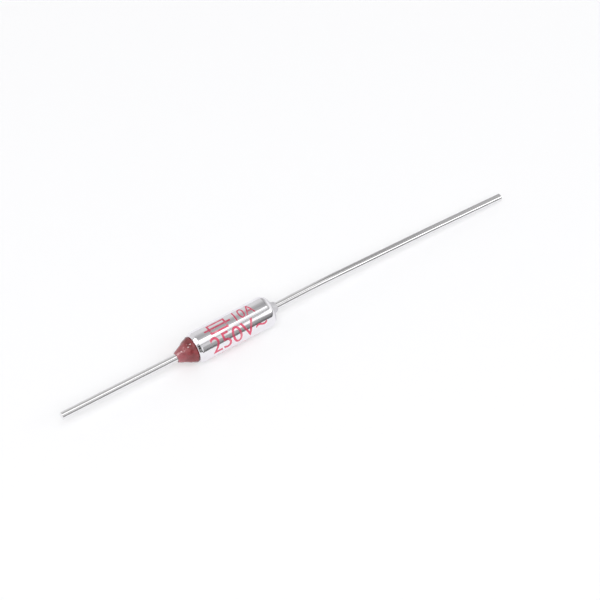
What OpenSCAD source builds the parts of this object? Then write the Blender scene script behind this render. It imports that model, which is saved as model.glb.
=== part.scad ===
// Axial thermal cutoff fuse, pellet type, lying on its case. Millimetres.
// +X runs along the fuse axis towards the long case lead, and +Z is up.
// The origin is the middle of the case, on its axis.

/* [Case] */
// Outside diameter of the drawn case
case_d = 4; // [4:0.1:5]
// Length of the case from the rolled rim to the closed end
case_len = 11; // [10.5:0.5:14]
// Thickness of the case wall
case_wall = 0.25; // [0.15:0.05:0.3]
// Thickness of the closed end
end_wall = 0.3; // [0.2:0.05:0.5]
// Outside radius of the corner at the closed end
corner_r = 0.9; // [0.6:0.05:1]
// Outside radius of the rim that is rolled over the bushing
rim_roll_r = 0.45; // [0.35:0.05:0.6]
// How far the rolled rim reaches inwards past its bend
rim_lip = 0.1; // [0.05:0.05:0.3]

/* [Leads] */
// Diameter of both leads
lead_d = 1; // [0.6:0.05:1.1]
// Chamfer on the cut end of each lead
lead_chamfer = 0.05; // [0.02:0.01:0.1]
// Length of the isolated lead outside the rim
isolated_lead_len = 18.2; // [10:0.1:40]
// Length of the case lead outside the closed end
case_lead_len = 34.2; // [24:0.1:60]
// Straight run of the isolated lead from the resin's tip to its bend
isolated_first_run = 0.5; // [0.3:0.1:4]
// Straight run of the case lead before its first bend
case_first_run = 5.2; // [2:0.1:8]
// Straight run of the case lead between its two bends
case_second_run = 12.5; // [5:0.5:14]
// Angle that the isolated lead's bend turns up
isolated_bend_angle = 0.9; // [0.2:0.1:2]
// Angle that the case lead's first bend turns down
case_first_bend_angle = 2.8; // [0.5:0.1:4]
// Angle that the case lead's second bend turns down
case_second_bend_angle = 0.8; // [0.4:0.1:4]
// Radius of each bend, at the middle of the wire
bend_r = 80; // [20:5:100]

/* [Case lead rivet] */
// Diameter of the conical collar where it seats on the closed end
collar_d = 1.8; // [1.4:0.1:2]
// Diameter of the conical collar at its tip
collar_tip_d = 1.14; // [1.12:0.02:1.3]
// Length of the conical collar
collar_len = 0.7; // [0.4:0.1:1.5]
// Diameter of the rivet head inside the closed end
rivet_d = 1.7; // [1.2:0.1:2.2]
// Thickness of the rivet head
rivet_t = 0.3; // [0.2:0.05:0.5]
// Edge radius of the rivet head
rivet_edge_r = 0.12; // [0.05:0.01:0.18]

/* [Isolated lead head] */
// Diameter of the contact head
head_d = 1.35; // [1.2:0.05:1.5]
// Thickness of the contact head
head_t = 0.3; // [0.2:0.05:0.4]
// Edge radius of the contact head
head_edge_r = 0.08; // [0.03:0.01:0.15]

/* [Resin seal] */
// How far the resin's wide edge stays inside the case's outside radius
seal_inset = 0.4; // [0.2:0.05:0.45]
// Diameter of the resin at its tip
seal_tip_d = 1.25; // [1.15:0.05:1.5]
// Length of the resin outside the rim
seal_len = 2.25; // [1.5:0.05:4]
// Length of the resin's straight edge at the rim
seal_edge_len = 0.3; // [0.1:0.05:0.6]

/* [Bushing] */
// Length of the wide part of the bushing
bushing_len = 2.8; // [2:0.1:3]
// Edge radius at the inner end of the wide part
bushing_edge_r = 0.15; // [0.05:0.05:0.3]
// Diameter of the nose that carries the contact head
nose_d = 1.5; // [1.45:0.05:1.6]
// Length of the nose
nose_len = 1.8; // [1.6:0.1:2.2]
// Edge radius at the end of the nose
nose_edge_r = 0.1; // [0.02:0.02:0.2]

/* [Thermal pellet] */
// Length of the pellet
pellet_len = 2.5; // [1.5:0.1:2.8]
// Chamfer on both edges of the pellet
pellet_chamfer = 0.2; // [0.1:0.05:0.4]

/* [Discs and star contact] */
// Thickness of the disc between pellet and strong spring
pellet_disc_t = 0.15; // [0.1:0.05:0.3]
// Thickness of the disc between strong spring and star contact
contact_disc_t = 0.15; // [0.1:0.05:0.3]
// Edge radius of both discs
disc_edge_r = 0.05; // [0.01:0.01:0.05]
// Thickness of the star contact's sheet
star_t = 0.1; // [0.06:0.02:0.14]
// Outside radius of the bend that turns each finger back
star_bend_r = 0.5; // [0.3:0.05:0.5]
// Straight length of each finger past its bend
finger_len = 0.35; // [0.2:0.05:0.8]
// How far the rounded finger tip stands out to the case wall
finger_tip_rise = 0.06; // [0.02:0.02:0.1]
// Number of fingers round the star
finger_count = 8; // [5:1:10]
// Width of the slot between two fingers
finger_slot = 0.45; // [0.2:0.05:0.6]

/* [Springs] */
// Wire diameter of the strong spring
strong_wire_d = 0.26; // [0.2:0.02:0.3]
// Turns of the strong spring, both closed end turns included
strong_turns = 4.5; // [4:0.5:5]
// Diameter of the strong spring's end turns, at the middle of the wire
strong_end_d = 1.9; // [1.6:0.1:2.1]
// Diameter of the strong spring's widest turn, at the middle of the wire
strong_mid_d = 2.7; // [2:0.1:2.9]
// Wire diameter of the trip spring
trip_wire_d = 0.15; // [0.1:0.01:0.16]
// Turns of the trip spring, both closed end turns included
trip_turns = 7; // [5:0.5:8]

/* [Clearances] */
// Gap between the case bore and the pellet, discs and bushing
slide_gap = 0.04; // [0.02:0.01:0.1]
// Gap between each lead and the hole that it goes through
lead_gap = 0.02; // [0.01:0.01:0.05]
// Gap between the star's finger tips and the case bore
finger_gap = 0.01; // [0.01:0.01:0.03]
// Gap between the trip spring and the bushing's nose
nose_gap = 0.1; // [0.05:0.01:0.12]

/* [Hidden] */

// Radii from the diameters above
case_r = case_d / 2;
bore_r = case_r - case_wall;
slide_r = bore_r - slide_gap;
lead_r = lead_d / 2;
hole_r = lead_r + lead_gap;
mouth_r = case_r - rim_roll_r - rim_lip;
trip_r = nose_d / 2 + nose_gap + trip_wire_d / 2;

// Stations along X, from the rolled rim inwards
rim_x = -case_len / 2;
bushing_x = rim_x + case_wall;
shoulder_x = bushing_x + bushing_len;
nose_x = shoulder_x + nose_len;
head_x = nose_x + head_t;
star_x = head_x + star_t;
contact_disc_x = star_x + contact_disc_t;

// Stations along X, from the closed end inwards
end_x = case_len / 2;
floor_x = end_x - end_wall;
rivet_x = floor_x - rivet_t;
pellet_x = rivet_x - pellet_len;
pellet_disc_x = pellet_x - pellet_disc_t;

// Where the resin's wide edge meets the curve of the rolled rim
seal_r = case_r - seal_inset;
seal_step = rim_roll_r - seal_inset;
seal_x = rim_x + rim_roll_r - sqrt(pow(rim_roll_r, 2) - pow(seal_step, 2));
seal_tip_x = rim_x - seal_len;

// Last straight run of each lead: its length less its other runs and its bends
case_bends_len = bend_r * (case_first_bend_angle + case_second_bend_angle) * PI / 180;
case_last_run = case_lead_len - case_first_run - case_second_run - case_bends_len;
isolated_bend_len = bend_r * isolated_bend_angle * PI / 180;
isolated_last_run = isolated_lead_len - seal_len - isolated_first_run - isolated_bend_len;

// How far a cutting shape reaches past the faces that it cuts
over = 1;
// Sides of a spring's wire, and rings in each of its turns
wire_sides = 8;
turn_rings = 20;
// Pitch of a closed end turn, as a share of the wire's diameter
closed_pitch = 1.08;
// Sides of the full ring that a bend is cut from
bend_sides = 720;
$fn = 64;

// Turns a profile of [radius, station along X] about the fuse axis
module about_axis() {
    rotate([0, 90, 0]) rotate_extrude() children();
}

// What a rounded corner leaves off a square one, seen from the middle of its curve
module corner_waste(round_r) {
    difference() {
        square(round_r + over);
        circle(round_r);
    }
}

// Profile of a solid bar with a rounded edge at either end
module bar_profile(r, from_x, to_x, from_round = 0, to_round = 0) {
    difference() {
        translate([0, from_x]) square([r, to_x - from_x]);
        if (from_round > 0) translate([r - from_round, from_x + from_round])
            mirror([0, 1]) corner_waste(from_round);
        if (to_round > 0) translate([r - to_round, to_x - to_round]) corner_waste(to_round);
    }
}

// Section of the case: a deep cup, its closed end rounded and its open end rolled in
module case_profile() {
    difference() {
        bar_profile(case_r, rim_x, end_x, rim_roll_r, corner_r);
        bar_profile(bore_r, bushing_x, floor_x, rim_roll_r - case_wall, corner_r - case_wall);
        translate([0, rim_x - over]) square([mouth_r, over + 2 * case_wall]);
        translate([0, floor_x - over]) square([hole_r, end_wall + 2 * over]);
    }
}

module case() {
    color("silver") about_axis() case_profile();
}

// Straight run of lead along +X, with a chamfer if it ends in a cut
module lead_run(run, cut = false) {
    chamfer = cut ? lead_chamfer : 0;
    rotate([0, 90, 0]) {
        cylinder(h = run - chamfer, r = lead_r);
        if (cut) translate([0, 0, run - chamfer])
            cylinder(h = chamfer, r1 = lead_r, r2 = lead_r - chamfer);
    }
}

// Moves its children from the start of a bend to its end
module bend_end(angle) {
    translate([bend_r * sin(angle), 0, -bend_r * (1 - cos(angle))]) rotate([0, angle, 0])
        children();
}

// Lead that comes in along +X and turns down by an angle; children go on from its end
module lead_bend(angle) {
    reach = bend_r * sin(angle) + lead_d;
    intersection() {
        translate([0, 0, -bend_r]) rotate([90, 0, 0])
            rotate_extrude($fn = bend_sides) translate([bend_r, 0]) circle(lead_r);
        translate([0, -lead_d, -reach]) cube([reach, 2 * lead_d, 2 * reach]);
        bend_end(angle) translate([-reach, -lead_d, -reach]) cube([reach, 2 * lead_d, 2 * reach]);
    }
    bend_end(angle) children();
}

// Section of the case lead at the closed end: rivet head, shank and conical collar
module rivet_profile() {
    bar_profile(rivet_d / 2, rivet_x, floor_x, rivet_edge_r, 0);
    translate([0, rivet_x + rivet_t / 2]) square([lead_r, rivet_t / 2 + end_wall + collar_len / 2]);
    polygon([
        [0, end_x],
        [collar_d / 2, end_x],
        [collar_tip_d / 2, end_x + collar_len],
        [0, end_x + collar_len]
    ]);
}

module case_lead() {
    color("lightgray") {
        about_axis() rivet_profile();
        translate([end_x, 0, 0]) {
            lead_run(case_first_run);
            translate([case_first_run, 0, 0]) lead_bend(case_first_bend_angle) {
                lead_run(case_second_run);
                translate([case_second_run, 0, 0]) lead_bend(case_second_bend_angle)
                    lead_run(case_last_run, true);
            }
        }
    }
}

module isolated_lead() {
    from_x = nose_x + head_t / 2;
    run = from_x - seal_tip_x + isolated_first_run;
    color("lightgray") {
        about_axis() bar_profile(head_d / 2, nose_x, head_x, head_edge_r, head_edge_r);
        translate([from_x, 0, 0]) rotate([0, 180, 0]) {
            lead_run(run);
            translate([run, 0, 0]) lead_bend(isolated_bend_angle)
                lead_run(isolated_last_run, true);
        }
    }
}

// Resin cast over the rolled rim, with a plug down to the bushing
module resin_seal() {
    color("brown") about_axis() difference() {
        union() {
            polygon([
                [0, seal_tip_x],
                [seal_tip_d / 2, seal_tip_x],
                [seal_r, rim_x - seal_edge_len],
                [seal_r, seal_x],
                [0, seal_x]
            ]);
            translate([0, rim_x - over / 2]) square([mouth_r, over / 2 + case_wall]);
        }
        case_profile();
        translate([0, seal_tip_x - over]) square([lead_r, seal_len + case_wall + 2 * over]);
    }
}

// Stepped bush: the wide part fills the bore, and the nose carries the contact head
module ceramic_bushing() {
    color("ivory") about_axis() difference() {
        union() {
            bar_profile(slide_r, bushing_x, shoulder_x, rim_roll_r - case_wall, bushing_edge_r);
            bar_profile(nose_d / 2, shoulder_x - over, nose_x, 0, nose_edge_r);
        }
        translate([0, bushing_x - over])
            square([hole_r, bushing_len + nose_len + 2 * over]);
    }
}

module thermal_pellet() {
    color("tan") about_axis() polygon([
        [0, pellet_x],
        [slide_r - pellet_chamfer, pellet_x],
        [slide_r, pellet_x + pellet_chamfer],
        [slide_r, rivet_x - pellet_chamfer],
        [slide_r - pellet_chamfer, rivet_x],
        [0, rivet_x]
    ]);
}

module pellet_disc() {
    color("goldenrod") about_axis()
        bar_profile(slide_r, pellet_disc_x, pellet_x, disc_edge_r, disc_edge_r);
}

module contact_disc() {
    color("goldenrod") about_axis()
        bar_profile(bore_r - star_bend_r - slide_gap, star_x, contact_disc_x, disc_edge_r, disc_edge_r);
}

// Section of the star: flat hub, quarter bend, straight finger and rounded tip
module star_profile() {
    finger_r = bore_r - finger_gap - finger_tip_rise;
    bend_x = star_x - star_bend_r;
    tip_x = bend_x - finger_len;
    tip_r = (star_t + finger_tip_rise) / 2;
    translate([0, head_x]) square([finger_r - star_bend_r, star_t]);
    translate([finger_r - star_bend_r, bend_x]) intersection() {
        difference() {
            circle(star_bend_r);
            circle(star_bend_r - star_t);
        }
        square(2 * star_bend_r);
    }
    translate([finger_r - star_t, tip_x]) square([star_t, finger_len]);
    translate([finger_r - star_t + tip_r, tip_x]) circle(tip_r);
}

module star_contact() {
    color("whitesmoke") difference() {
        about_axis() star_profile();
        for (i = [0 : finger_count - 1]) rotate([360 * i / finger_count, 0, 0])
            translate([star_x - case_r, -finger_slot / 2, bore_r - star_bend_r - finger_tip_rise])
                cube([case_r + over, finger_slot, case_r]);
    }
}

// Station of the wire's middle after a number of turns: closed, open, then closed again
function coil_x(turn, turns, rise, wire_d) =
    let (pitch = closed_pitch * wire_d, open_pitch = (rise - 2 * pitch) / (turns - 2))
    turn < 1 ? pitch * turn :
    turn < turns - 1 ? pitch + open_pitch * (turn - 1) :
    rise - pitch * (turns - turn);

// Compression spring wound about the axis from one station to another, as one swept wire
module spring(from_x, to_x, wire_d, end_r, mid_r, turns) {
    rings = round(turns * turn_rings);
    rise = to_x - from_x - wire_d;
    points = [for (i = [0 : rings]) let (
            angle = 360 * turns * i / rings,
            coil_r = end_r + (mid_r - end_r) * sin(180 * i / rings),
            x = from_x + wire_d / 2 + coil_x(turns * i / rings, turns, rise, wire_d)
        ) for (j = [0 : wire_sides - 1]) let (
            turn = 360 * j / wire_sides,
            r = coil_r + wire_d / 2 * cos(turn)
        ) [x + wire_d / 2 * sin(turn), r * cos(angle), r * sin(angle)]];
    sides = [for (i = [0 : rings - 1], j = [0 : wire_sides - 1]) let (
            a = i * wire_sides + j,
            b = i * wire_sides + (j + 1) % wire_sides
        ) each [[a, b, b + wire_sides], [a, b + wire_sides, a + wire_sides]]];
    start_cap = [for (j = [wire_sides - 1 : -1 : 0]) j];
    end_cap = [for (j = [0 : wire_sides - 1]) rings * wire_sides + j];
    polyhedron(points, concat(sides, [start_cap, end_cap]));
}

module strong_spring() {
    color("slategray") spring(contact_disc_x, pellet_disc_x, strong_wire_d,
        strong_end_d / 2, strong_mid_d / 2, strong_turns);
}

module trip_spring() {
    color("slategray") spring(shoulder_x, head_x, trip_wire_d, trip_r, trip_r, trip_turns);
}

case();
case_lead();
isolated_lead();
resin_seal();
ceramic_bushing();
thermal_pellet();
pellet_disc();
strong_spring();
contact_disc();
star_contact();
trip_spring();
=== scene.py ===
import math

import bmesh
import bpy
from mathutils import Matrix, Vector, noise


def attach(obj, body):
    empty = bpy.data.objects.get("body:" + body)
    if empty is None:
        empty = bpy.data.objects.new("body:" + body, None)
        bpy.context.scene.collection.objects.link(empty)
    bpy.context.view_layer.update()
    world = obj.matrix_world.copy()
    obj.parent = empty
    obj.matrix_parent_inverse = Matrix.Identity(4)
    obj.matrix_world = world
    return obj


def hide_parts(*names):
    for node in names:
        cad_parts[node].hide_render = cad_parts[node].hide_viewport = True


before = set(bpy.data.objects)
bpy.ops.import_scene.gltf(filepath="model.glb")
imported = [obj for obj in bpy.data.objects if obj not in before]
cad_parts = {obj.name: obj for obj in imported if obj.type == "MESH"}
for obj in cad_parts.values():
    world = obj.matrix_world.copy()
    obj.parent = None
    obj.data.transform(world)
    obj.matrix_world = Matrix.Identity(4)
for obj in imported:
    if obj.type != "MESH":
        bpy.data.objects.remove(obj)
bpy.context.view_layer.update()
scene = bpy.context.scene

# ---------------------------------------------------------------------------
# Camera: a long lens from in front and above, so that the fuse runs from the
# lower left to the upper right of the picture.
CAMERA_DISTANCE = 0.3411
CAMERA_HEIGHT_ANGLE = math.radians(54.0)
CAMERA_SIDE_ANGLE = math.radians(30.535)
CAMERA_PAN = math.radians(2.349)
CAMERA_TILT = math.radians(-0.563)
FOCAL_PIXELS = 2827.9
PICTURE_PIXELS = 600

camera = bpy.data.objects.new("camera", bpy.data.cameras.new("camera"))
scene.collection.objects.link(camera)
camera.data.sensor_width = 36
camera.data.lens = FOCAL_PIXELS * camera.data.sensor_width / PICTURE_PIXELS
camera.data.clip_start = 0.01


def towards(side_angle, height_angle):
    """Direction that looks down on the fuse from its front left."""
    level = math.cos(height_angle)
    return Vector(
        (math.sin(side_angle) * level, math.cos(side_angle) * level, -math.sin(height_angle))
    )


camera.location = -CAMERA_DISTANCE * towards(CAMERA_SIDE_ANGLE, CAMERA_HEIGHT_ANGLE)
camera.rotation_euler = towards(
    CAMERA_SIDE_ANGLE + CAMERA_PAN, CAMERA_HEIGHT_ANGLE + CAMERA_TILT
).to_track_quat("-Z", "Y").to_euler()
scene.camera = camera

# ---------------------------------------------------------------------------
# Case: a cup drawn from thin brass. The punch rounds its closed end, and its open
# end is pressed in a little and rolled over the bushing. Then it is plated.
MM = 0.001
CASE_R = 2.0
BORE_R = 1.75
RIM_X = -5.5
BUSHING_X = -5.25
MOUTH_R = 1.45
LIP_R = 1.5
RIM_R = 1.73
CRIMP_X = -5.04
CRIMP_SOFTNESS = 0.11
RIM_EDGE_R = 0.12
BUSHING_EDGE_R = 0.2
END_X = 5.5
FLOOR_X = 5.2
CORNER_R = 0.9
HOLE_R = 0.52
PRESSED_FROM_X, PRESSED_X = 5.05, 5.3
PRESSED_ROUGHNESS = 0.42
# Sizes of the patterns in the plating, in millimetres along the case and across it.
DRAW_LINE = (16.67, 0.25, 0.25)
DENT = (2, 1.111, 1.111)
TARNISH_SPOT = 2.5
# Spin steps, the gap that is merged shut, and how near a ring counts as the one looked for.
CASE_STEPS = 160
WELD = 1e-5
SAME_RING = 1e-4


def linear(hex_colour):
    """Turns an sRGB hex colour into the linear colour that a shader wants."""
    parts = [int(hex_colour[i : i + 2], 16) / 255 for i in (1, 3, 5)]
    return [p / 12.92 if p <= 0.04045 else ((p + 0.055) / 1.055) ** 2.4 for p in parts] + [1]


def add_node(tree, kind, inputs, **settings):
    """Adds a node: an input is set to a value, or linked if it is given a socket."""
    made = tree.nodes.new(kind)
    for name, value in settings.items():
        setattr(made, name, value)
    for name, value in inputs.items():
        if isinstance(value, bpy.types.NodeSocket):
            tree.links.new(value, made.inputs[name])
        else:
            made.inputs[name].default_value = value
    return made


def new_material(name):
    """A material with its own surface shader, and the shader that it holds."""
    material = bpy.data.materials.new(name)
    material.use_nodes = True
    return material, material.node_tree, material.node_tree.nodes["Principled BSDF"]


def ring_at(bm, x, r):
    """The edges that form the ring at a station and a radius."""
    return [
        e for e in bm.edges
        if all(
            abs(v.co.x - x) < SAME_RING and abs(v.co.yz.length - r) < SAME_RING for v in e.verts
        )
    ]


def turned(section, rounds, steps, closed=True):
    """Spins a section of (station, radius) about the fuse axis, then rounds its rings."""
    bm = bmesh.new()
    points = [bm.verts.new((x, 0, r)) for x, r in section]
    edges = [bm.edges.new(pair) for pair in zip(points, points[1:] + points[:closed])]
    bmesh.ops.spin(
        bm, geom=points + edges, cent=(0, 0, 0), axis=(1, 0, 0), angle=math.tau,
        steps=steps, use_merge=True,
    )
    bmesh.ops.remove_doubles(bm, verts=bm.verts, dist=WELD)
    for (x, r), (offset, segments) in rounds.items():
        bmesh.ops.bevel(
            bm, geom=ring_at(bm, x, r), offset=offset, offset_type="OFFSET", segments=segments,
            profile=0.5, affect="EDGES", material=-1,
        )
    return bm


def finish_piece(bm, name, material, replaced=None, flat_angle=35):
    """Makes the mesh an object in metres that rides on the fuse, in place of a CAD node."""
    bmesh.ops.remove_doubles(bm, verts=bm.verts, dist=WELD)
    bmesh.ops.recalc_face_normals(bm, faces=bm.faces)
    bmesh.ops.scale(bm, vec=(MM, MM, MM), verts=bm.verts)
    mesh = bpy.data.meshes.new(name)
    bm.to_mesh(mesh)
    bm.free()
    mesh.shade_smooth()
    mesh.set_sharp_from_angle(angle=math.radians(flat_angle))
    mesh.materials.append(material)
    piece = bpy.data.objects.new(name, mesh)
    scene.collection.objects.link(piece)
    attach(piece, "root")
    if replaced:
        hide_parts(replaced)
    return piece


case_section = [
    (RIM_X, MOUTH_R), (RIM_X, LIP_R), (RIM_X, RIM_R), (CRIMP_X, CASE_R), (END_X, CASE_R),
    (END_X, HOLE_R), (FLOOR_X, HOLE_R), (FLOOR_X, BORE_R), (BUSHING_X, BORE_R),
    (BUSHING_X, MOUTH_R),
]
# Each edge that is rounded, with the size of its round and the number of its steps.
case_rounds = {
    (RIM_X, RIM_R): (RIM_EDGE_R, 8),
    (CRIMP_X, CASE_R): (CRIMP_SOFTNESS, 8),
    (END_X, CASE_R): (CORNER_R, 16),
    (FLOOR_X, BORE_R): (CORNER_R - CASE_R + BORE_R, 8),
    (BUSHING_X, BORE_R): (BUSHING_EDGE_R, 6),
}

# Silver plate is smooth and bright: it shows the room as clean streaks, a little
# softened along the lines of the drawing die and bent by shallow waves in the wall.
# Past the corner the punch leaves the closed end satin and a little greyer. The real
# lines are finer than the picture shows, so they are drawn a quarter millimetre wide.
silver_plate, tree, shader = new_material("bright_silver_plate_on_drawn_brass")
place = add_node(tree, "ShaderNodeTexCoord", {})
along = add_node(
    tree, "ShaderNodeMapping",
    {"Vector": place.outputs["Object"], "Scale": [1 / (size * MM) for size in DRAW_LINE]},
)
draw_lines = add_node(
    tree, "ShaderNodeTexNoise", {"Vector": along.outputs["Vector"], "Scale": 1, "Detail": 3}
)
tarnish = add_node(
    tree, "ShaderNodeTexNoise",
    {"Vector": place.outputs["Object"], "Scale": 1 / (TARNISH_SPOT * MM), "Detail": 5},
)
stretched = add_node(
    tree, "ShaderNodeMapping",
    {"Vector": place.outputs["Object"], "Scale": [1 / (size * MM) for size in DENT]},
)
dents = add_node(
    tree, "ShaderNodeTexNoise", {"Vector": stretched.outputs["Vector"], "Scale": 1, "Detail": 1}
)
tint = add_node(
    tree, "ShaderNodeMix",
    {"Factor": tarnish.outputs["Fac"], "A": linear("#F4F3F6"), "B": linear("#ECEAEE")},
    data_type="RGBA",
)
dull = add_node(
    tree, "ShaderNodeMapRange",
    {
        "Value": draw_lines.outputs["Fac"], "From Min": 0.3, "From Max": 0.7,
        "To Min": 0.08, "To Max": 0.15,
    },
)
waves = add_node(
    tree, "ShaderNodeBump", {"Height": dents.outputs["Fac"], "Strength": 1, "Distance": 0.01 * MM}
)
lines = add_node(
    tree, "ShaderNodeBump",
    {
        "Height": draw_lines.outputs["Fac"], "Strength": 0.15, "Distance": 0.02 * MM,
        "Normal": waves.outputs["Normal"],
    },
)
station = add_node(tree, "ShaderNodeSeparateXYZ", {"Vector": place.outputs["Object"]})
pressed = add_node(
    tree, "ShaderNodeMapRange",
    {"Value": station.outputs["X"], "From Min": PRESSED_FROM_X * MM, "From Max": PRESSED_X * MM},
)
plate_colour = add_node(
    tree, "ShaderNodeMix",
    {"Factor": pressed.outputs["Result"], "A": tint.outputs["Result"], "B": linear("#C9C8CB")},
    data_type="RGBA",
)
plate_gloss = add_node(
    tree, "ShaderNodeMix",
    {0: pressed.outputs["Result"], 2: dull.outputs["Result"], 3: PRESSED_ROUGHNESS},
)
tree.links.new(plate_colour.outputs["Result"], shader.inputs["Base Color"])
tree.links.new(plate_gloss.outputs[0], shader.inputs["Roughness"])
tree.links.new(lines.outputs["Normal"], shader.inputs["Normal"])
shader.inputs["Metallic"].default_value = 1

case_cup = turned(case_section, case_rounds, CASE_STEPS)
finish_piece(case_cup, "plated_case", silver_plate, "case")

# ---------------------------------------------------------------------------
# Print: red ink, pressed on the case by a soft pad in rows along it. The rows hold
# plain signs only: a fuse sign, a current, a voltage and a temperature.
INK_OVER = 0.008
INK_UNDER = 0.004
STROKE_GAIN = 0.002
SLICE = 0.08
SIGN_TAIL = 0.17
WORN_SPOT = 0.5556

# The film of ink is thin and glossy, and the plating shines through it: it is pink
# where the case shows a lamp, dark red where it shows the dark of the room.
ink, tree, shader = new_material("red_pad_printing_ink")
place = add_node(tree, "ShaderNodeTexCoord", {})
wear = add_node(
    tree, "ShaderNodeTexNoise",
    {"Vector": place.outputs["Object"], "Scale": 1 / (WORN_SPOT * MM), "Detail": 3},
)
thin = add_node(
    tree, "ShaderNodeMapRange",
    {
        "Value": wear.outputs["Fac"], "From Min": 0.52, "From Max": 0.68,
        "To Min": 0, "To Max": 0.55,
    },
)
red = add_node(
    tree, "ShaderNodeMix",
    {"Factor": thin.outputs["Result"], "A": linear("#E0607A"), "B": linear("#F2B6C0")},
    data_type="RGBA",
)
tree.links.new(red.outputs["Result"], shader.inputs["Base Color"])
shader.inputs["Metallic"].default_value = 0.55
shader.inputs["Roughness"].default_value = 0.22


def flat_words(words, width, left, height):
    """A row of letters as a thin closed mesh, its left end, width and height as given."""
    letters = bpy.data.curves.new("letters", "FONT")
    letters.body = words
    letters.extrude = 0.5
    letters.offset = STROKE_GAIN
    maker = bpy.data.objects.new("letters", letters)
    scene.collection.objects.link(maker)
    mesh = bpy.data.meshes.new_from_object(
        maker.evaluated_get(bpy.context.evaluated_depsgraph_get())
    )
    bm = bmesh.new()
    bm.from_mesh(mesh)
    bpy.data.objects.remove(maker)
    low = [min(v.co[i] for v in bm.verts) for i in (0, 1)]
    high = [max(v.co[i] for v in bm.verts) for i in (0, 1)]
    bmesh.ops.translate(bm, vec=(-low[0], -low[1], 0), verts=bm.verts)
    bmesh.ops.scale(
        bm, vec=(width / (high[0] - low[0]), height / (high[1] - low[1]), 1), verts=bm.verts
    )
    bmesh.ops.translate(bm, vec=(left, 0, 0), verts=bm.verts)
    return bm


def wrapped(bm, foot_angle):
    """Slices a flat print into strips and lays it round the case from the angle of its foot."""
    bmesh.ops.remove_doubles(bm, verts=bm.verts, dist=WELD)
    top = max(v.co.y for v in bm.verts)
    for i in range(1, int(top / SLICE) + 1):
        bmesh.ops.bisect_plane(
            bm, geom=bm.verts[:] + bm.edges[:] + bm.faces[:], plane_co=(0, i * SLICE, 0),
            plane_no=(0, 1, 0), dist=1e-6,
        )
    for v in bm.verts:
        angle = foot_angle - v.co.y / CASE_R
        r = CASE_R + (INK_OVER if v.co.z > 0 else -INK_UNDER)
        v.co = (v.co.x, -r * math.sin(angle), r * math.cos(angle))
    return bm


def fuse_sign(left, width, height, stroke):
    """The plain sign of a fuse, a box with a line right through it."""
    bm = bmesh.new()
    box_left, box_right = left + SIGN_TAIL * width, left + (1 - SIGN_TAIL) * width
    bars = [
        (left, left + width, 0),
        (box_left, box_right, -height / 2),
        (box_left, box_right, height / 2),
    ]
    for x0, x1, y in bars:
        bar = bmesh.ops.create_cube(bm, size=1)["verts"]
        bmesh.ops.scale(bm, vec=(x1 - x0 + stroke, stroke, 1), verts=bar)
        bmesh.ops.translate(bm, vec=((x0 + x1) / 2, y, 0), verts=bar)
    for x in (box_left, box_right):
        for side in (-1, 1):
            bar = bmesh.ops.create_cube(bm, size=1)["verts"]
            bmesh.ops.scale(bm, vec=(stroke, height / 2 - stroke, 1), verts=bar)
            bmesh.ops.translate(bm, vec=(x, side * height / 4, 0), verts=bar)
    return bm


# Each row with the angle of its foot in degrees, from the top of the case to the front.
print_rows = [
    (flat_words("250V~", 7.7, -3.8, 2.19), 90),
    (flat_words("10A", 2.7, 0.4, 1.5), 16),
    (flat_words("120°C", 6.6, -3.6, 2.19), 177),
    (fuse_sign(-3.7, 3.4, 1.25, 0.24), -2),
]
for number, (row, foot) in enumerate(print_rows):
    finish_piece(wrapped(row, math.radians(foot)), f"print_row_{number}", ink)

# ---------------------------------------------------------------------------
# Case lead: copper wire, riveted in the closed end and spread to a collar outside
# it. It is dipped in tin, and bent down a little on its way out.
LEAD_R = 0.5
LEAD_SIDES = 48
LEAD_CHAMFER = 0.05
BEND_R = 80
BEND_STEPS = 8
RIVET_R, RIVET_X, RIVET_EDGE_R = 0.85, 4.9, 0.12
COLLAR_TIP_X = 6.27
COLLAR_MIDDLE_X, COLLAR_REACH = 5.88, 0.42
TIN_ROUGHNESS, COLLAR_ROUGHNESS = 0.12, 0.5
DIE_LINE = (2.5, 0.125, 0.125)
FIRST_BEND_X = 10.7
collar_curve = [
    (END_X, 1.0), (5.58, 0.9), (5.7, 0.82), (5.84, 0.75), (5.98, 0.7), (6.12, 0.65), (6.22, 0.6),
    (6.26, 0.55),
]
# Straight runs, each with the bend in degrees that follows it.
case_lead_runs = [(FIRST_BEND_X - COLLAR_TIP_X, 2.8), (12.5, 0.8), (11.473 - LEAD_CHAMFER, 0)]

# Dipped tin is bright but less even than plate: the streaks are softer, with faint
# lines along the wire that are left by the drawing die, and drawn coarser than they
# are, so that they show. The punch that spread the collar left it satin.
tin, tree, shader = new_material("bright_tin_on_copper_wire")
place = add_node(tree, "ShaderNodeTexCoord", {})
along = add_node(
    tree, "ShaderNodeMapping",
    {"Vector": place.outputs["Object"], "Scale": [1 / (size * MM) for size in DIE_LINE]},
)
die_lines = add_node(
    tree, "ShaderNodeTexNoise", {"Vector": along.outputs["Vector"], "Scale": 1, "Detail": 4}
)
grey = add_node(
    tree, "ShaderNodeMix",
    {"Factor": die_lines.outputs["Fac"], "A": linear("#F4F3F4"), "B": linear("#E9E8E9")},
    data_type="RGBA",
)
ripples = add_node(
    tree, "ShaderNodeBump",
    {"Height": die_lines.outputs["Fac"], "Strength": 0.2, "Distance": 0.01 * MM},
)
station = add_node(tree, "ShaderNodeSeparateXYZ", {"Vector": place.outputs["Object"]})
punched = add_node(
    tree, "ShaderNodeMath",
    {0: station.outputs["X"], 1: COLLAR_MIDDLE_X * MM, 2: COLLAR_REACH * MM}, operation="COMPARE",
)
satin = add_node(
    tree, "ShaderNodeMapRange",
    {"Value": punched.outputs[0], "To Min": TIN_ROUGHNESS, "To Max": COLLAR_ROUGHNESS},
)
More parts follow.
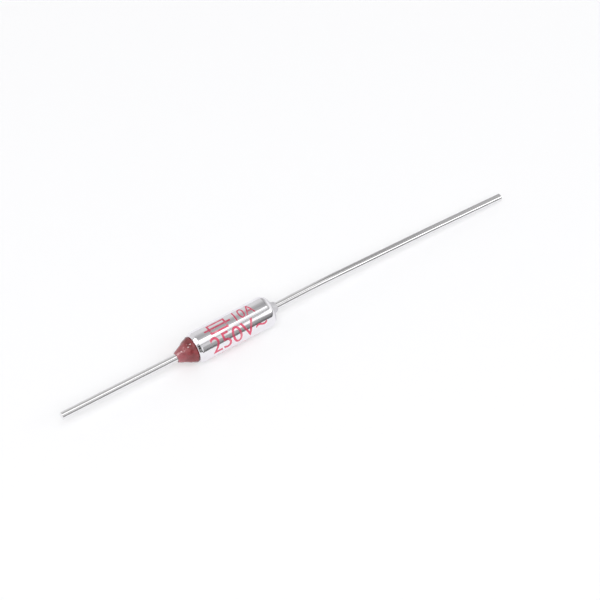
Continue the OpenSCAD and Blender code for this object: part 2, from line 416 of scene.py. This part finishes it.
tin_colour = add_node(
    tree, "ShaderNodeMix",
    {"Factor": punched.outputs[0], "A": grey.outputs["Result"], "B": linear("#DAD9DC")},
    data_type="RGBA",
)
tree.links.new(tin_colour.outputs["Result"], shader.inputs["Base Color"])
tree.links.new(satin.outputs["Result"], shader.inputs["Roughness"])
tree.links.new(ripples.outputs["Normal"], shader.inputs["Normal"])
shader.inputs["Metallic"].default_value = 1


def drawn_out(bm, ring, way, runs):
    """Draws a ring of wire out along straight runs, each with the bend that follows it."""
    for run, bend in runs:
        out = bmesh.ops.extrude_edge_only(bm, edges=ring)["geom"]
        moved = [g for g in out if isinstance(g, bmesh.types.BMVert)]
        ring = [g for g in out if isinstance(g, bmesh.types.BMEdge)]
        bmesh.ops.translate(bm, vec=way * run, verts=moved)
        if bend:
            turn = Matrix.Rotation(math.radians(bend), 3, "Y")
            middle = sum((v.co for v in moved), Vector()) / len(moved)
            to_centre = Matrix.Rotation(math.pi / 2, 3, "Y") @ way * BEND_R
            spun = bmesh.ops.spin(
                bm, geom=moved + ring, cent=middle + to_centre, axis=(0, 1, 0),
                angle=math.radians(bend), steps=BEND_STEPS,
            )["geom_last"]
            ring = [g for g in spun if isinstance(g, bmesh.types.BMEdge)]
            way = turn @ way
    return ring


def cut_off(bm, ring):
    """Ends a wire with the small chamfer and the flat face that a cutter leaves."""
    face = bmesh.ops.contextual_create(bm, geom=ring)["faces"]
    bmesh.ops.recalc_face_normals(bm, faces=bm.faces)
    bmesh.ops.inset_region(bm, faces=face, thickness=LEAD_CHAMFER, depth=LEAD_CHAMFER)


lead_section = [
    (RIVET_X, 0), (RIVET_X, RIVET_R), (FLOOR_X, RIVET_R), (FLOOR_X, LEAD_R), (END_X, LEAD_R),
    *collar_curve, (COLLAR_TIP_X, LEAD_R),
]
bm = turned(lead_section, {(RIVET_X, RIVET_R): (RIVET_EDGE_R, 4)}, LEAD_SIDES, closed=False)
ring = drawn_out(bm, ring_at(bm, COLLAR_TIP_X, LEAD_R), Vector((1, 0, 0)), case_lead_runs)
cut_off(bm, ring)
finish_piece(bm, "tinned_case_lead", tin, "case_lead")

# ---------------------------------------------------------------------------
# Isolated lead: the same wire with a flat contact head, seated on the nose of
# the bushing and led out through the resin.
HEAD_R, HEAD_X, NOSE_X, HEAD_EDGE_R = 0.675, -0.35, -0.65, 0.08
SEAL_TIP_X = -7.75
RUN_TO_BEND = 0.5
isolated_lead_runs = [(NOSE_X - SEAL_TIP_X + RUN_TO_BEND, 0.9), (14.193 - LEAD_CHAMFER, 0)]
head_section = [(HEAD_X, 0), (HEAD_X, HEAD_R), (NOSE_X, HEAD_R), (NOSE_X, LEAD_R)]
bm = turned(head_section, {(HEAD_X, HEAD_R): (HEAD_EDGE_R, 4)}, LEAD_SIDES, closed=False)
ring = drawn_out(bm, ring_at(bm, NOSE_X, LEAD_R), Vector((-1, 0, 0)), isolated_lead_runs)
cut_off(bm, ring)
finish_piece(bm, "tinned_isolated_lead", tin, "isolated_lead")

# ---------------------------------------------------------------------------
# Resin seal: red-brown epoxy, dropped on the open end round the lead and cured.
# It stands as a blunt cone, lumpy because it set while it still ran.
SEAL_R, SEAL_EDGE_X = 1.7, -5.66
SEAL_CREEP, SEAL_GAP = 0.1, 0.003
SEAL_END_X, SEAL_TIP_R = SEAL_TIP_X - SEAL_CREEP, 0.64
SEAL_ROOT_X, SEAL_ROOT_R = RIM_X - SEAL_GAP, 1.54
SEAL_STEPS, SLOPE_CUTS, EDGE_STEPS = 120, 40, 6
SLOPE_LENGTH = 1.5
SHOULDER, TIP_EDGE_R = 0.05, 0.07
LUMP_HEIGHT, LUMP_SIZE = 0.042, 0.6
FINE_LUMPS, FINE_SHARE = 2.3, 0.5
TIP_FADE, EDGE_FADE, LEAD_FADE = 0.7, 0.2, 0.1
SLOPE_ALONG, SLOPE_OUT = -0.48, 0.88
DROP_MIDDLE = Vector((-6.35, -0.66, 1.05))
DROP_R, DROP_EDGE, DROP_HEIGHT = 0.72, 0.16, 0.07
# Where the painted light towards the tip of the resin begins, and where it is full.
PAINTED_LIGHT_FROM_X, PAINTED_LIGHT_X = -6.3, -7.8
CLOUD, GRAIN = 0.9091, 0.2

# Cured epoxy is a glossy plastic with filler in it: dark and clear in some patches,
# dusty brown in others, with small sharp lights. Towards the tip its colour is painted
# paler: that is painted light, not a tone of the resin. The grain of the filler is
# drawn 0.2 mm wide, coarser than it is, so that it shows.
epoxy, tree, shader = new_material("cured_red_brown_epoxy")
place = add_node(tree, "ShaderNodeTexCoord", {})
cloud = add_node(
    tree, "ShaderNodeTexNoise",
    {"Vector": place.outputs["Object"], "Scale": 1 / (CLOUD * MM), "Detail": 4},
)
patches = add_node(
    tree, "ShaderNodeMapRange",
    {"Value": cloud.outputs["Fac"], "From Min": 0.35, "From Max": 0.65},
)
shade = add_node(
    tree, "ShaderNodeMix",
    {"Factor": patches.outputs["Result"], "A": linear("#6A2528"), "B": linear("#94474A")},
    data_type="RGBA",
)
station = add_node(tree, "ShaderNodeSeparateXYZ", {"Vector": place.outputs["Object"]})
# Painted light: the resin's colour is painted paler towards the tip.
painted_tip_light = add_node(
    tree, "ShaderNodeMapRange",
    {
        "Value": station.outputs["X"], "From Min": PAINTED_LIGHT_FROM_X * MM, "From Max": PAINTED_LIGHT_X * MM,
        "To Max": 0.6,
    },
)
painted_tip_lit_colour = add_node(
    tree, "ShaderNodeMix",
    {"Factor": painted_tip_light.outputs["Result"], "A": shade.outputs["Result"], "B": linear("#B9757C")},
    data_type="RGBA",
)
gloss = add_node(
    tree, "ShaderNodeMapRange",
    {
        "Value": cloud.outputs["Fac"], "From Min": 0.35, "From Max": 0.65,
        "To Min": 0.06, "To Max": 0.24,
    },
)
grain = add_node(
    tree, "ShaderNodeTexNoise",
    {"Vector": place.outputs["Object"], "Scale": 1 / (GRAIN * MM), "Detail": 3},
)
skin = add_node(
    tree, "ShaderNodeBump",
    {"Height": grain.outputs["Fac"], "Strength": 0.5, "Distance": 0.02 * MM},
)
tree.links.new(painted_tip_lit_colour.outputs["Result"], shader.inputs["Base Color"])
tree.links.new(gloss.outputs["Result"], shader.inputs["Roughness"])
tree.links.new(skin.outputs["Normal"], shader.inputs["Normal"])

seal_section = [
    (SEAL_END_X, LEAD_R), (SEAL_END_X, SEAL_TIP_R), (SEAL_EDGE_X, SEAL_R),
    (SEAL_ROOT_X, SEAL_ROOT_R), (SEAL_ROOT_X, MOUTH_R), (BUSHING_X, MOUTH_R), (BUSHING_X, LEAD_R),
]
bm = turned(seal_section, {}, SEAL_STEPS)
slope = [
    e for e in bm.edges
    if abs(e.verts[0].co.x - e.verts[1].co.x) > SLOPE_LENGTH
    and min(v.co.yz.length for v in e.verts) > LEAD_R + SAME_RING
]
bmesh.ops.subdivide_edges(bm, edges=slope, cuts=SLOPE_CUTS)
for x, r, size in ((SEAL_END_X, SEAL_TIP_R, TIP_EDGE_R), (SEAL_EDGE_X, SEAL_R, SHOULDER)):
    bmesh.ops.bevel(
        bm, geom=ring_at(bm, x, r), offset=size, offset_type="OFFSET", segments=EDGE_STEPS,
        profile=0.5, affect="EDGES", clamp_overlap=True, material=-1,
    )


def lumps(spot):
    """How far the cured resin stands out at a spot: two sizes of lump, and one drop."""
    lump = noise.noise(spot / LUMP_SIZE)
    lump += FINE_SHARE * noise.noise(spot * FINE_LUMPS / LUMP_SIZE)
    inside = min(max((DROP_R - (spot - DROP_MIDDLE).length) / DROP_EDGE, 0), 1)
    drop = inside * inside * (3 - 2 * inside)
    return lump * LUMP_HEIGHT + drop * DROP_HEIGHT


for v in bm.verts:
    fade = min(
        (v.co.x - SEAL_END_X) / TIP_FADE, (SEAL_EDGE_X - v.co.x) / EDGE_FADE,
        (v.co.yz.length - LEAD_R) / LEAD_FADE, 1,
    )
    if fade > 0:
        out = Vector((SLOPE_ALONG, *(SLOPE_OUT * v.co.yz.normalized())))
        v.co += out * lumps(v.co) * fade
finish_piece(bm, "epoxy_seal", epoxy, "resin_seal")

# ---------------------------------------------------------------------------
# Pieces inside, which keep their CAD meshes and get their real finishes. The pellet, a
# disc, the strong spring, a disc, the star contact, the trip spring and the bushing are
# stacked in the case in that order, and its rim holds them in.


def refinished(material, *names):
    """Gives carried-over pieces their real finish."""
    for name in names:
        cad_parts[name].data.materials.clear()
        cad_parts[name].data.materials.append(material)


def speckled(name, light, dark, size_mm, roughness, metallic, stretch=(1, 1, 1), depth_mm=0.004):
    """A material whose colour and surface vary by grains of a real size."""
    material, tree, shader = new_material(name)
    place = add_node(tree, "ShaderNodeTexCoord", {})
    grain_way = add_node(
        tree, "ShaderNodeMapping", {"Vector": place.outputs["Object"], "Scale": stretch}
    )
    grains = add_node(
        tree, "ShaderNodeTexNoise",
        {"Vector": grain_way.outputs["Vector"], "Scale": 1 / (size_mm * MM), "Detail": 4},
    )
    colour = add_node(
        tree, "ShaderNodeMix",
        {"Factor": grains.outputs["Fac"], "A": linear(dark), "B": linear(light)},
        data_type="RGBA",
    )
    rough = add_node(
        tree, "ShaderNodeMapRange",
        {
            "Value": grains.outputs["Fac"], "From Min": 0.3, "From Max": 0.7,
            "To Min": roughness * 0.8, "To Max": roughness * 1.2,
        },
    )
    bump = add_node(
        tree, "ShaderNodeBump",
        {"Height": grains.outputs["Fac"], "Strength": 0.5, "Distance": depth_mm * MM},
    )
    tree.links.new(colour.outputs["Result"], shader.inputs["Base Color"])
    tree.links.new(rough.outputs["Result"], shader.inputs["Roughness"])
    tree.links.new(bump.outputs["Normal"], shader.inputs["Normal"])
    shader.inputs["Metallic"].default_value = metallic
    return material


# Alumina is pressed and fired without glaze: cream white, matt, with a fine grain.
refinished(
    speckled("fired_alumina", "#F2EDE0", "#DDD5C4", 0.06, 0.5, 0), "ceramic_bushing"
)
# The pellet is pressed from an organic powder: tan, dry and mealy.
refinished(
    speckled("pressed_organic_powder", "#CDB68C", "#A88F63", 0.12, 0.75, 0, depth_mm=0.012),
    "thermal_pellet",
)
# The discs are punched from rolled brass sheet: warm yellow with fine rolling lines.
refinished(
    speckled("rolled_brass_sheet", "#E3C170", "#C9A24E", 0.05, 0.3, 1, stretch=(1, 1, 0.1)),
    "pellet_disc", "contact_disc",
)
# The springs are cold-drawn steel wire: grey and satin, with short draw marks.
refinished(
    speckled("drawn_spring_steel_wire", "#A9A9AD", "#85858A", 0.04, 0.3, 1),
    "strong_spring", "trip_spring",
)
# The star is stamped from silver alloy: the brightest piece, faintly yellowed.
refinished(
    speckled("stamped_silver_alloy", "#F3F0E9", "#E0DACB", 0.15, 0.16, 1), "star_contact"
)

# ---------------------------------------------------------------------------
# Table: plain white card that the case lies on. The eye, and the plating, see it
# bright; it keeps the shadow of the fuse.
CARD_GLOW = 0.4
MIRRORED_GLOW = 0.1
card, tree, shader = new_material("white_card")
path = add_node(tree, "ShaderNodeLightPath", {})
shader.inputs["Base Color"].default_value = linear("#F9F9FB")
shader.inputs["Roughness"].default_value = 0.9
shader.inputs["Specular IOR Level"].default_value = 0
white = add_node(tree, "ShaderNodeEmission", {"Color": (1, 1, 1, 1), "Strength": 1})
seen = add_node(
    tree, "ShaderNodeMath", {0: path.outputs["Is Camera Ray"], 1: CARD_GLOW}, operation="MULTIPLY"
)
glow = add_node(
    tree, "ShaderNodeMath",
    {0: path.outputs["Is Glossy Ray"], 1: MIRRORED_GLOW, 2: seen.outputs[0]},
    operation="MULTIPLY_ADD",
)
both = add_node(
    tree, "ShaderNodeMixShader", {0: glow.outputs[0], 1: shader.outputs[0], 2: white.outputs[0]}
)
tree.links.new(both.outputs[0], tree.nodes["Material Output"].inputs["Surface"])
bm = bmesh.new()
bmesh.ops.create_grid(bm, x_segments=1, y_segments=1, size=2)
bmesh.ops.translate(bm, vec=(0, 0, -CASE_R * MM), verts=bm.verts)
mesh = bpy.data.meshes.new("table")
bm.to_mesh(mesh)
bm.free()
mesh.materials.append(card)
table = bpy.data.objects.new("table", mesh)
scene.collection.objects.link(table)

# ---------------------------------------------------------------------------
# Light: a studio with a pale wall behind, a grey ceiling and a dim front, and soft
# boxes overhead, in front and on both sides. The room grows lighter to the right, less
# so low at the front, and has a dark place halfway up at the front left.
# Each tone of the room stands at an angle, from the back (-90) over the top to the front.
room_tones = [
    (-90, 0.78), (-56, 0.76), (-34, 0.48), (-24, 0.42), (-8, 0.52), (28, 0.5), (50, 0.5),
    (60, 0.42), (70, 0.36), (80, 0.16), (90, 0.08),
]
# Each tone of the right end: how far to the right, its grey, and how much it covers.
right_tones = [
    (0.34, 0.2, 0), (0.39, 0.12, 0.5), (0.46, 0.45, 1), (0.62, 0.6, 1), (0.74, 0.75, 1),
    (0.85, 1, 1),
]
LEFT_FROM, LEFT = -0.5, -0.6
DARK_LEAN, DARK_REACH, DARK_TONE = 0.79, 0.29, 0.04
LOW_FROM, LOW, LOW_SHARE = 0.9, 1.3, 0.4
world = bpy.data.worlds.new("studio")
scene.world = world
world.use_nodes = True
tree = world.node_tree
way = add_node(tree, "ShaderNodeTexCoord", {})
parts = add_node(tree, "ShaderNodeSeparateXYZ", {"Vector": way.outputs["Generated"]})
front = add_node(tree, "ShaderNodeMath", {0: parts.outputs["Y"], 1: -1}, operation="MULTIPLY")
lean = add_node(
    tree, "ShaderNodeMath", {0: front.outputs[0], 1: parts.outputs["Z"]}, operation="ARCTAN2"
)
reach = add_node(
    tree, "ShaderNodeMapRange",
    {"Value": lean.outputs[0], "From Min": -math.pi / 2, "From Max": math.pi / 2},
)
tones = add_node(tree, "ShaderNodeValToRGB", {"Fac": reach.outputs["Result"]})
tones.color_ramp.interpolation = "EASE"
while len(tones.color_ramp.elements) < len(room_tones):
    tones.color_ramp.elements.new(0.5)
for stop, (degrees, grey) in zip(tones.color_ramp.elements, room_tones):
    stop.position = 0.5 + degrees / 180
    stop.color = (grey, grey, grey, 1)
right_side = add_node(tree, "ShaderNodeValToRGB", {"Fac": parts.outputs["X"]})
while len(right_side.color_ramp.elements) < len(right_tones):
    right_side.color_ramp.elements.new(0.5)
for stop, (reach_right, grey, cover) in zip(right_side.color_ramp.elements, right_tones):
    stop.position = reach_right
    stop.color = (grey, grey, grey, cover)
left_side = add_node(
    tree, "ShaderNodeMapRange",
    {"Value": parts.outputs["X"], "From Min": LEFT_FROM, "From Max": LEFT},
)
halfway_up = add_node(
    tree, "ShaderNodeMath", {0: lean.outputs[0], 1: DARK_LEAN, 2: DARK_REACH}, operation="COMPARE"
)
dark_place = add_node(
    tree, "ShaderNodeMath", {0: left_side.outputs["Result"], 1: halfway_up.outputs[0]},
    operation="MULTIPLY",
)
low_right = add_node(
    tree, "ShaderNodeMapRange",
    {
        "Value": lean.outputs[0], "From Min": LOW_FROM, "From Max": LOW,
        "To Min": 1, "To Max": LOW_SHARE,
    },
)
dimmed = add_node(
    tree, "ShaderNodeVectorMath",
    {0: right_side.outputs["Color"], "Scale": low_right.outputs["Result"]}, operation="SCALE",
)
with_right = add_node(
    tree, "ShaderNodeMix",
    {
        "Factor": right_side.outputs["Alpha"], "A": tones.outputs["Color"],
        "B": dimmed.outputs["Vector"],
    },
    data_type="RGBA",
)
with_left = add_node(
    tree, "ShaderNodeMix",
    {
        "Factor": dark_place.outputs[0], "A": with_right.outputs["Result"],
        "B": (DARK_TONE, DARK_TONE, DARK_TONE, 1),
    },
    data_type="RGBA",
)
path = add_node(tree, "ShaderNodeLightPath", {})
room = tree.nodes["Background"]
tree.links.new(with_left.outputs["Result"], room.inputs["Color"])
wall = add_node(tree, "ShaderNodeBackground", {"Color": (1, 1, 1, 1), "Strength": 1})
both = add_node(
    tree, "ShaderNodeMixShader",
    {0: path.outputs["Is Camera Ray"], 1: room.outputs[0], 2: wall.outputs[0]},
)
tree.links.new(both.outputs[0], tree.nodes["World Output"].inputs["Surface"])


def soft_box(name, side, height, distance, shift, size, glow):
    """A lamp that faces the fuse from a side and a height angle, shifted along it."""
    lamp = bpy.data.lights.new(name, "AREA")
    lamp.shape = "RECTANGLE"
    lamp.size, lamp.size_y = size
    lamp.energy = glow * math.pi * size[0] * size[1]
    box = bpy.data.objects.new(name, lamp)
    scene.collection.objects.link(box)
    way = towards(math.radians(side), math.radians(height))
    box.location = Vector((shift, 0, 0)) - distance * way
    box.rotation_euler = way.to_track_quat("-Z", "Y").to_euler()
    box.visible_camera = False
    return box


# Side and height in degrees, distance, shift and size in metres, and glow.
soft_box("overhead_box", 0, 81, 0.6, -0.1, (0.8, 0.24), 0.4)
soft_box("overhead_strip", 0, 85, 0.59, -0.11, (0.78, 0.09), 0.7)
soft_box("overhead_left", 0, 70, 0.62, -0.114, (0.6, 0.18), 0.6)
soft_box("front_box", 0, 45, 0.7, 0, (0.9, 0.22), 0.2)
soft_box("front_card", 0, 22, 0.7, -0.05, (0.36, 0.42), 0.6)
soft_box("right_strip", 0, 45, 0.69, 0.55, (0.69, 0.2), 0.5)
soft_box("far_strip", 0, 46, 0.68, 0.595, (0.65, 0.36), 0.9)
soft_box("left_box", 90, 15, 0.7, 0, (0.9, 0.5), 0.6)
left_lamp = soft_box("left_lamp", 109, 46, 0.7, 0, (0.4, 0.14), 12)
left_lamp.visible_diffuse = False
fill_box = soft_box("fill_box", 30, 57, 0.8, 0, (0.5, 0.5), 3)
fill_box.visible_glossy = False

scene.view_settings.view_transform = "Standard"
